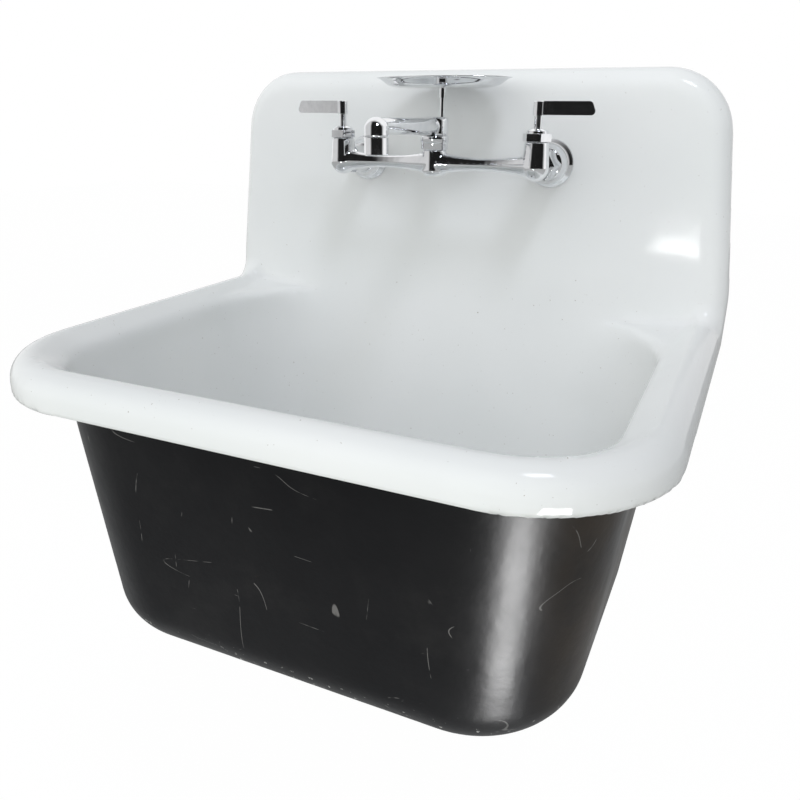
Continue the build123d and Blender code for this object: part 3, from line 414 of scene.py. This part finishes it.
def hair_lines(scale, stretch, seed, width):
    """Thin broken lines: the contours of a stretched noise, kept in patches."""
    field = iron.noise(scale, 1.0, 0.4, stretch=stretch, seed=seed)
    off_line = iron.maths("ABSOLUTE", iron.maths("SUBTRACT", field, 0.5))
    line = iron.span(off_line, width, width * 0.4)
    patch = iron.span(iron.noise(24, 3, 0.6, seed=seed + 4.0), 0.57, 0.62)
    return iron.maths("MULTIPLY", line, patch)


dust = iron.span(iron.noise(14, 5, 0.65, seed=1.7), 0.5, 0.78)
uneven_coat = iron.span(iron.noise(7, 4, 0.6), 0.35, 0.7)
black_plain = iron.blend(uneven_coat, (0.002, 0.002, 0.003), (0.005, 0.005, 0.006))
black_dusty = iron.blend(iron.maths("MULTIPLY", dust, 0.06), black_plain, (0.09, 0.085, 0.08))
# painted reflection: a brown tint, patchy in strength, laid on the right side of the black paint where the
# bowl's right side shows a reflection; it is not rust
right_side_painted_reflection = iron.maths("MULTIPLY", iron.span(spot.outputs["X"], 0.19, 0.235),
                        iron.span(iron.noise(9, 4, 0.6, seed=6.0), 0.35, 0.65, 0.2, 1.0))
black_with_painted_reflection = iron.blend(iron.maths("MULTIPLY", right_side_painted_reflection, 0.6), black_dusty, (0.050, 0.033, 0.018))
worn = iron.maths("MAXIMUM", hair_lines(22, (1.0, 1.0, 0.3), 5.2, 0.0045),
                  hair_lines(19, (0.35, 0.6, 1.3), 8.4, 0.0036))
low_down = iron.span(spot.outputs["Z"], -0.225, -0.27)
chips = iron.span(iron.noise(150, 3, 0.55, seed=2.3), 0.665, 0.68)
chipped = iron.maths("MULTIPLY", chips, iron.span(low_down, 0.0, 1.0))
black_marked = iron.blend(iron.maths("MULTIPLY", worn, 0.42), black_with_painted_reflection, (0.33, 0.32, 0.31))
black_colour = iron.blend(chipped, black_marked, (0.6, 0.6, 0.58))
iron_colour = iron.blend(enamelled, black_colour, enamel_colour)
enamel_gloss = iron.span(iron.noise(9, 3), 0.3, 0.7, 0.06, 0.11)
black_gloss = iron.span(iron.noise(18, 4, 0.6), 0.3, 0.7, 0.30, 0.37)
iron_gloss = iron.maths("ADD", iron.maths("MULTIPLY", enamelled, enamel_gloss),
                        iron.maths("MULTIPLY", iron.maths("SUBTRACT", 1.0, enamelled), black_gloss))
wave = iron.bump(iron.noise(16, 2, 0.4), 0.0012, 0.5)
brushed = iron.maths("MULTIPLY", iron.noise(160, 3, 0.5), iron.maths("SUBTRACT", 1.0, enamelled))
iron_normal = iron.bump(brushed, 0.0004, 0.3, under=wave)
casting.data.materials.clear()
casting.data.materials.append(iron.finish(iron_colour, iron_gloss, iron_normal, Specular_IOR_Level=0.2))


# Wall hanger: bent strip steel, painted black, screwed to the wall through
# four holes; the casting's lugs drop over its hooks.
def painted_steel(name):
    paint = Shade(name)
    rub = paint.span(paint.noise(90, 4, 0.6), 0.55, 0.75)
    colour = paint.blend(rub, (0.012, 0.012, 0.014), (0.09, 0.085, 0.08))
    gloss = paint.span(paint.noise(40, 3), 0.3, 0.7, 0.4, 0.6)
    return paint.finish(colour, gloss, paint.bump(paint.noise(300, 3), 0.0003, 0.4))


nodes["wall_hanger"].data.materials.clear()
nodes["wall_hanger"].data.materials.append(painted_steel("black_painted_steel"))


# Faucet bridge: cross tube, hub and two valve barrels cast in brass, ground,
# polished and chrome plated; held to the splash back by its two inlets.
def polished_chrome(name, seed=0.0, gloss=(0.035, 0.09)):
    """Bright plating with faint smears and a soft waviness from the polishing."""
    plate = Shade(name)
    smear = plate.noise(60, 4, 0.6, seed=seed + 1.0)
    colour = plate.blend(plate.span(smear, 0.35, 0.75), (0.88, 0.885, 0.90), (0.79, 0.80, 0.82))
    roughness = plate.span(plate.noise(130, 4, 0.6, seed=seed), 0.35, 0.75, *gloss)
    normal = plate.bump(plate.noise(90, 2, 0.4, seed=seed + 2.0), 0.0003, 0.25)
    return plate.finish(colour, roughness, normal, metallic=1.0)


def wear(piece, material):
    """Gives a piece one material."""
    piece.data.materials.clear()
    piece.data.materials.append(material)
    return piece


bridge = as_piece(merged_copy("faucet_bridge"), "bridge_casting", "sink", "chrome", "faucet_bridge")
even_skin(bridge, 0.0008, 8, hold=False)
wear(bridge, polished_chrome("bridge_chrome"))


# Inlets: threaded brass shanks through the splash back, a union nut and fibre
# gasket at the valve, a spun cone flange in front and a lock nut behind.
def turned(name, profile, centre, into_wall=False, edge=0.3, steps=72):
    """Piece turned on a lathe from a closed profile of (radius, length) in mm."""
    bm = bmesh.new()
    ring = [bm.verts.new((radius, 0, length)) for radius, length in profile]
    sides = [bm.edges.new((a, b)) for a, b in zip(ring, ring[1:] + ring[:1])]
    bmesh.ops.spin(bm, geom=ring + sides, cent=(0, 0, 0), axis=(0, 0, 1), angle=2 * pi, steps=steps,
                   use_merge=True)
    bmesh.ops.remove_doubles(bm, verts=bm.verts, dist=1e-4)
    bmesh.ops.dissolve_degenerate(bm, edges=bm.edges, dist=1e-5)
    bmesh.ops.recalc_face_normals(bm, faces=bm.faces)
    if edge:
        corners = [e for e in bm.edges if len(e.link_faces) == 2 and e.calc_face_angle() > radians(28)]
        bmesh.ops.bevel(bm, geom=corners, offset=edge, segments=3, profile=0.5, affect="EDGES",
                        clamp_overlap=True, material=-1)
    bmesh.ops.scale(bm, verts=bm.verts, vec=(0.001, 0.001, 0.001))
    if into_wall:
        bmesh.ops.rotate(bm, verts=bm.verts, cent=(0, 0, 0), matrix=Matrix.Rotation(-pi / 2, 3, "X"))
    bmesh.ops.translate(bm, verts=bm.verts, vec=[0.001 * value for value in centre])
    return bm


def eased_copy(node, width, segments=3):
    """Copy of a CAD node whose sharp edges are rounded over."""
    bm = merged_copy(node)
    bmesh.ops.dissolve_limit(bm, angle_limit=radians(1.0), verts=bm.verts, edges=bm.edges)
    corners = [e for e in bm.edges if len(e.link_faces) == 2 and e.calc_face_angle() > radians(30)]
    bmesh.ops.bevel(bm, geom=corners, offset=width, segments=segments, profile=0.5, affect="EDGES",
                    clamp_overlap=True, material=-1)
    return bm


def flat_faces_stay_flat(piece):
    """Weighted normals keep the flats of a nut or blade even in a reflection."""
    weighted = piece.modifiers.new("weighted", "WEIGHTED_NORMAL")
    weighted.keep_sharp = True


def machined_brass(name, seed=0.0):
    brass = Shade(name)
    stain = brass.span(brass.noise(70, 4, 0.6, seed=seed), 0.35, 0.7)
    colour = brass.blend(stain, (0.62, 0.45, 0.18), (0.36, 0.24, 0.10))
    gloss = brass.span(brass.noise(150, 3, seed=seed), 0.3, 0.7, 0.22, 0.42)
    turning = brass.noise(900, 2, 0.5, stretch=(0.1, 1.0, 0.1))
    return brass.finish(colour, gloss, brass.bump(turning, 0.0001, 0.4), metallic=1.0)


def washer_rubber(name):
    rubber = Shade(name)
    bloom = rubber.span(rubber.noise(120, 4, 0.6), 0.4, 0.75)
    colour = rubber.blend(bloom, (0.012, 0.012, 0.012), (0.045, 0.044, 0.043))
    grain = rubber.bump(rubber.noise(500, 3), 0.0002, 0.5)
    return rubber.finish(colour, rubber.span(bloom, 0, 1, 0.6, 0.85), grain)


inlet_height = 142.0
valve_out = 101.6
valve_depth = -82.0
flange_shape = [(9.5, -41.6), (13.6, -41.6), (14.9, -40.9), (15.6, -39.4), (16.1, -36.6), (16.9, -33.9),
                (18.3, -31.4), (20.4, -28.9), (22.6, -27.1), (23.3, -26.2), (23.3, -25.3), (22.0, -25.3),
                (20.6, -26.8), (18.6, -28.8), (16.6, -31.4), (15.3, -34.1), (14.5, -37.0), (13.6, -40.1),
                (9.5, -40.1)]
for side, way in (("left", -1), ("right", 1)):
    at = (way * valve_out, 0, inlet_height)
    flange = as_piece(turned("flange", flange_shape, at, into_wall=True, edge=0.0), f"cone_flange_{side}",
                      "sink", "chrome", f"wall_flange_{side}")
    wear(flange, polished_chrome(f"flange_chrome_{side}", 3.0 + way))
    nut = as_piece(eased_copy(f"union_nut_{side}", 0.0005), f"union_hex_{side}", "sink", "chrome",
                   f"union_nut_{side}")
    flat_faces_stay_flat(wear(nut, polished_chrome(f"union_chrome_{side}", 5.0 + way)))
    for node in (f"supply_shank_{side}", f"shank_locknut_{side}", f"valve_seat_{side}"):
        wear(nodes[node], machined_brass(f"brass_{node}", way))
    for node in (f"union_gasket_{side}", f"shank_washer_{side}"):
        wear(nodes[node], washer_rubber(f"rubber_{node}"))


# Valves: chromed hexagon bonnets over quarter-turn stems, each with a flat
# lever held down by a slotted screw.
for side, way in (("left", -1), ("right", 1)):
    body = f"{side}_valve"
    bonnet = as_piece(eased_copy(f"bonnet_nut_{side}", 0.0007), f"bonnet_{side}", "sink", "chrome",
                      f"bonnet_nut_{side}")
    flat_faces_stay_flat(wear(bonnet, polished_chrome(f"bonnet_chrome_{side}", 7.0 + way)))
    lever = as_piece(eased_copy(f"lever_{side}", 0.0008, segments=4), f"lever_handle_{side}", body, "chrome",
                     f"lever_{side}")
    flat_faces_stay_flat(wear(lever, polished_chrome(f"lever_chrome_{side}", 9.0 + way)))
    wear(nodes[f"lever_screw_{side}"], polished_chrome(f"screw_chrome_{side}", 11.0 + way, (0.15, 0.25)))
    wear(nodes[f"valve_stem_{side}"], polished_chrome(f"stem_chrome_{side}", 13.0 + way, (0.1, 0.2)))
    wear(nodes[f"seat_washer_{side}"], washer_rubber(f"rubber_seat_{side}"))


# Spout: cast brass, polished and chromed, swinging in the centre hub under a
# round coupling nut, with a screwed stream ring at its tip.
spout = as_piece(merged_copy("spout"), "spout_casting", "swivel_spout", "chrome", "spout")
even_skin(spout, 0.0007, 6, hold=False)
tail_play = 0.00025         # the evened tail is drawn in, so that it turns free in the hub
tail_top = 0.1645
tail_reach = 0.0095
for vertex in spout.data.vertices:
    out = Vector((vertex.co.x, vertex.co.y - 0.001 * valve_depth, 0))
    if vertex.co.z < tail_top and out.length < tail_reach:
        vertex.co -= out.normalized() * min(tail_play, out.length)
wear(spout, polished_chrome("spout_chrome", 15.0))
nut_shape = [(10.05, 154.5), (12.6, 154.5), (13.0, 155.2), (13.0, 160.5), (13.4, 160.9), (13.75, 161.6),
             (13.75, 166.2), (13.3, 167.0), (7.05, 167.0), (7.05, 164.0), (10.05, 164.0)]
collar = as_piece(turned("collar", nut_shape, (0, valve_depth, 0)), "spout_collar", "sink", "chrome",
                  "spout_nut")
wear(collar, polished_chrome("collar_chrome", 17.0))
stream = as_piece(eased_copy("outlet_ring", 0.0004), "stream_ring", "swivel_spout", "chrome", "outlet_ring")
flat_faces_stay_flat(wear(stream, polished_chrome("stream_chrome", 19.0)))
wear(nodes["spout_ring"], machined_brass("brass_spout_ring"))
wear(nodes["spout_oring"], washer_rubber("rubber_oring"))


# Soap dish: pressed oval tray with a turned-out rim, screwed through a sleeve
# to a stud that stands on the bridge behind the spout.
dish_shape = [(0, 210.6), (20, 210.6), (24, 210.9), (27, 211.7), (29.4, 213.1), (31.2, 215.0),
              (32.8, 217.2), (34.2, 218.8), (35.3, 219.5), (36.0, 219.8), (36.0, 220.3), (35.3, 220.5),
              (34.0, 220.1), (32.4, 219.0), (30.6, 216.9), (29.0, 215.0), (26.8, 213.2), (24, 212.3),
              (20, 211.9), (0, 211.9)]
stud_depth = -65.0
long_by_wide = 69.5 / 36.0
tray = turned("dish", dish_shape, (0, stud_depth, 0), edge=0.0, steps=96)
bmesh.ops.scale(tray, verts=tray.verts, vec=(long_by_wide, 1, 1))
dish = as_piece(tray, "soap_tray", "sink", "chrome", "soap_dish")
wear(dish, polished_chrome("dish_chrome", 21.0))
for node in ("dish_stud", "dish_sleeve", "dish_screw"):
    wear(nodes[node], polished_chrome(f"chrome_{node}", 23.0))


# Waste: stainless strainer cup clamped through the floor of the bowl by a
# lock nut over a rubber gasket and fibre washer, with a brass tailpiece.
def strainer_steel(name):
    steel = Shade(name)
    marks = steel.span(steel.noise(80, 4, 0.6), 0.35, 0.75)
    colour = steel.blend(marks, (0.62, 0.62, 0.62), (0.42, 0.41, 0.40))
    spun = steel.noise(700, 2, 0.5, stretch=(1, 1, 0.1))
    gloss = steel.span(marks, 0, 1, 0.18, 0.32)
    return steel.finish(colour, gloss, steel.bump(spun, 0.0001, 0.3), metallic=1.0)


def pressed_fibre(name):
    fibre = Shade(name)
    fleck = fibre.span(fibre.noise(260, 4, 0.7), 0.3, 0.7)
    colour = fibre.blend(fleck, (0.20, 0.09, 0.05), (0.11, 0.045, 0.03))
    return fibre.finish(colour, 0.85, fibre.bump(fibre.noise(500, 4), 0.0003, 0.6))


for node in ("strainer_cup", "strainer_grid", "grid_screw"):
    wear(nodes[node], strainer_steel(f"steel_{node}"))
for node in ("waste_locknut", "tailpiece", "tail_nut"):
    wear(nodes[node], machined_brass(f"brass_{node}", 4.0))
for node in ("waste_gasket", "tail_washer"):
    wear(nodes[node], washer_rubber(f"rubber_{node}"))
wear(nodes["friction_washer"], pressed_fibre("pressed_fibre"))
